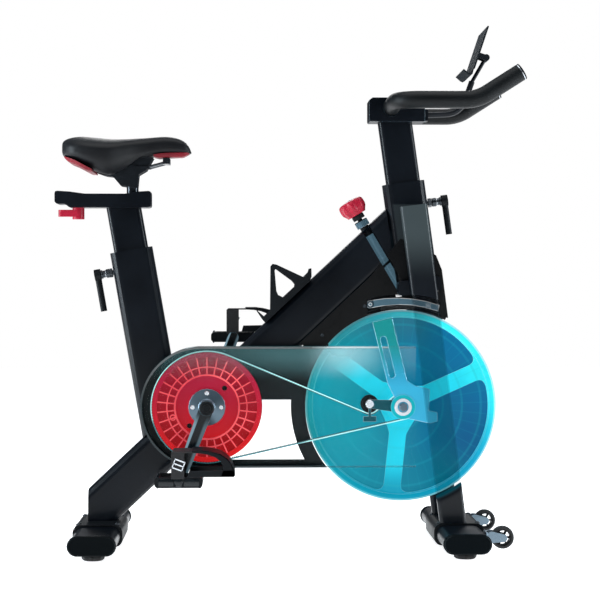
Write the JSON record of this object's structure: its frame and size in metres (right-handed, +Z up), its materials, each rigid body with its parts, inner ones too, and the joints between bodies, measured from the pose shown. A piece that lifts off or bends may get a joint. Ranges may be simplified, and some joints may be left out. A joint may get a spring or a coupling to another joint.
{
  "type": "indoor spin bike",
  "caption": "Indoor spin bike: belt drive to a front flywheel, adjustable saddle and handlebar, resistance knob, toe-cage pedals, tablet ledge and cross feet.",
  "frame": {"origin": "floor point under the middle of the bike", "axes": "+X forward, +Y to the rider's left, +Z up"},
  "size_m": [1.08, 0.5106, 1.2167],
  "materials": {
    "frame_paint": "gloss black with a blue cast",
    "bracket_steel": "blue-grey satin",
    "dark_steel": "dark grey satin",
    "chrome": "polished",
    "black_plastic": "fine moulded grain",
    "rubber": "matt",
    "clear_cover": "clear",
    "smoked_cover": "smoked",
    "red_plastic": "semi-gloss",
    "flywheel_tint": "bright cyan with a metallic base",
    "saddle_cover": "fine grain",
    "grip_foam": "foam"
  },
  "bodies": {
    "frame": {"main_tube": "frame_paint", "seat_tube": "frame_paint", "front_post": "frame_paint", "fork_leg_right": "frame_paint", "fork_leg_left": "frame_paint", "dropout_right": "bracket_steel", "dropout_left": "bracket_steel", "rear_stabilizer": "frame_paint", "rear_foot_sleeve": "black_plastic", "rear_cap_right": "black_plastic", "rear_cap_left": "black_plastic", "front_stabilizer": "frame_paint", "front_foot_sleeve": "black_plastic", "front_cap_right": "black_plastic", "front_cap_left": "black_plastic", "wheel_bracket_right": "bracket_steel", "wheel_bracket_left": "bracket_steel", "belt_guard_inner": "black_plastic", "belt_guard_outer": "clear_cover", "brake_shroud": "smoked_cover", "bottle_cage": "black_plastic", "flywheel_axle": "bracket_steel", "idler_bracket": "bracket_steel", "drive_belt": "rubber", "rod_sleeve": "bracket_steel"},
    "flywheel": {"flywheel": "flywheel_tint", "flywheel_pulley": "flywheel_tint"},
    "crankset": {"drive_pulley": "red_plastic", "crank_axle": "dark_steel", "crank_right": "dark_steel", "crank_left": "dark_steel"},
    "pedal_right": {"pedal_right": "black_plastic", "toe_cage_right": "black_plastic"},
    "pedal_left": {"pedal_left": "black_plastic", "toe_cage_left": "black_plastic"},
    "idler": {"idler_wheel": "black_plastic"},
    "seat_post": {"seat_post": "frame_paint"},
    "saddle_carriage": {"saddle_carriage": "dark_steel"},
    "saddle": {"saddle": "saddle_cover", "saddle_clamp": "dark_steel"},
    "seat_lever": {"seat_lever": "red_plastic"},
    "seat_pin": {"seat_pin": "chrome"},
    "seat_pin_lever": {"seat_pin_lever": "black_plastic"},
    "handlebar": {"handlebar_post": "frame_paint", "handlebar_base": "frame_paint", "handlebar": "grip_foam", "tablet_stem": "frame_paint"},
    "bar_pin": {"bar_pin": "chrome"},
    "bar_pin_lever": {"bar_pin_lever": "black_plastic"},
    "tablet_tray": {"tablet_tray": "black_plastic"},
    "resistance_rod": {"resistance_rod": "chrome"},
    "resistance_knob": {"resistance_knob": "red_plastic"},
    "brake_arm": {"brake_arm": "bracket_steel", "brake_pad": "rubber"},
    "transport_wheel_right": {"transport_wheel_right": "rubber"},
    "transport_wheel_left": {"transport_wheel_left": "rubber"},
    "rear_leveller_right": {"rear_leveller_right": "rubber"},
    "rear_leveller_left": {"rear_leveller_left": "rubber"},
    "front_leveller_right": {"front_leveller_right": "rubber"},
    "front_leveller_left": {"front_leveller_left": "rubber"}
  },
  "joints": [
    {"name": "flywheel_spin", "type": "hinge", "parent": "frame", "child": "flywheel", "pos_m": [0.2715, 0, 0.3306], "axis": [0, 1, 0], "continuous": true},
    {"name": "crank_spin", "type": "hinge", "parent": "frame", "child": "crankset", "pos_m": [-0.1845, 0, 0.33], "axis": [0, 1, 0], "continuous": true},
    {"name": "idler_spin", "type": "hinge", "parent": "frame", "child": "idler", "pos_m": [0.195, 0, 0.337], "axis": [0, 1, 0], "continuous": true},
    {"name": "pedal_right_spin", "type": "hinge", "parent": "crankset", "child": "pedal_right", "pos_m": [-0.24487, -0.152, 0.17108], "axis": [0, 1, 0], "continuous": true},
    {"name": "pedal_left_spin", "type": "hinge", "parent": "crankset", "child": "pedal_left", "pos_m": [-0.12413, 0.152, 0.48892], "axis": [0, 1, 0], "continuous": true},
    {"name": "seat_height", "type": "slide", "parent": "frame", "child": "seat_post", "axis": [-0.1723, 0, 0.985], "range_m": [-0.09, 0.1]},
    {"name": "saddle_fore_aft", "type": "slide", "parent": "seat_post", "child": "saddle_carriage", "axis": [1, 0, 0], "range_m": [-0.115, 0.005]},
    {"name": "saddle_tilt", "type": "hinge", "parent": "saddle_carriage", "child": "saddle", "pos_m": [-0.36, 0, 0.884], "axis": [0, 1, 0], "range_deg": [-8, 8]},
    {"name": "seat_lever_turn", "type": "hinge", "parent": "seat_post", "child": "seat_lever", "pos_m": [-0.487, 0, 0.78], "axis": [0, 0, 1], "range_deg": [-60, 60]},
    {"name": "seat_pin_pull", "type": "slide", "parent": "frame", "child": "seat_pin", "axis": [-0.985, 0, -0.1723], "range_m": [0, 0.01], "stiffness_N_per_m": 1500, "springref_m": -0.003},
    {"name": "seat_pin_turn", "type": "hinge", "parent": "seat_pin", "child": "seat_pin_lever", "pos_m": [-0.4417, 0, 0.63757], "axis": [-0.985, 0, -0.1723], "range_deg": [-90, 90]},
    {"name": "bar_height", "type": "slide", "parent": "frame", "child": "handlebar", "axis": [-0.1366, 0, 0.9906], "range_m": [-0.11, 0.05]},
    {"name": "bar_pin_pull", "type": "slide", "parent": "frame", "child": "bar_pin", "axis": [0.9906, 0, 0.1366], "range_m": [0, 0.01], "stiffness_N_per_m": 1500, "springref_m": -0.003},
    {"name": "bar_pin_turn", "type": "hinge", "parent": "bar_pin", "child": "bar_pin_lever", "pos_m": [0.37576, 0, 0.81402], "axis": [0.9906, 0, 0.1366], "range_deg": [-90, 90]},
    {"name": "tablet_tilt", "type": "hinge", "parent": "handlebar", "child": "tablet_tray", "pos_m": [0.473, 0, 1.151], "axis": [0, 1, 0], "range_deg": [-5, 25]},
    {"name": "brake_push", "type": "slide", "parent": "frame", "child": "resistance_rod", "axis": [0.5087, 0, -0.8609], "range_m": [0, 0.003], "stiffness_N_per_m": 3000, "springref_m": -0.008},
    {"name": "resistance_turn", "type": "hinge", "parent": "resistance_rod", "child": "resistance_knob", "pos_m": [0.1589, 0, 0.7965], "axis": [0.5087, 0, -0.8609], "range_deg": [-360, 360]},
    {"name": "brake_arm_press", "type": "hinge", "parent": "frame", "child": "brake_arm", "pos_m": [0.199, 0, 0.569], "axis": [0, 1, 0], "range_deg": [0, 2]},
    {"name": "wheel_right_roll", "type": "hinge", "parent": "frame", "child": "transport_wheel_right", "pos_m": [0.492, -0.145, 0.038], "axis": [0, 1, 0], "continuous": true},
    {"name": "wheel_left_roll", "type": "hinge", "parent": "frame", "child": "transport_wheel_left", "pos_m": [0.492, 0.145, 0.038], "axis": [0, 1, 0], "continuous": true},
    {"name": "rear_leveller_right_turn", "type": "hinge", "parent": "frame", "child": "rear_leveller_right", "pos_m": [-0.435, -0.205, 0], "axis": [0, 0, 1], "continuous": true},
    {"name": "rear_leveller_left_turn", "type": "hinge", "parent": "frame", "child": "rear_leveller_left", "pos_m": [-0.435, 0.205, 0], "axis": [0, 0, 1], "continuous": true},
    {"name": "front_leveller_right_turn", "type": "hinge", "parent": "frame", "child": "front_leveller_right", "pos_m": [0.399, -0.205, 0], "axis": [0, 0, 1], "continuous": true},
    {"name": "front_leveller_left_turn", "type": "hinge", "parent": "frame", "child": "front_leveller_left", "pos_m": [0.399, 0.205, 0], "axis": [0, 0, 1], "continuous": true}
  ],
  "couplings": [
    {"joint": "crank_spin", "follows": "flywheel_spin", "ratio": 0.21875},
    {"joint": "idler_spin", "follows": "flywheel_spin", "ratio": -1.3333},
    {"joint": "brake_arm_press", "follows": "brake_push", "rad_per_m": 10.6}
  ]
}
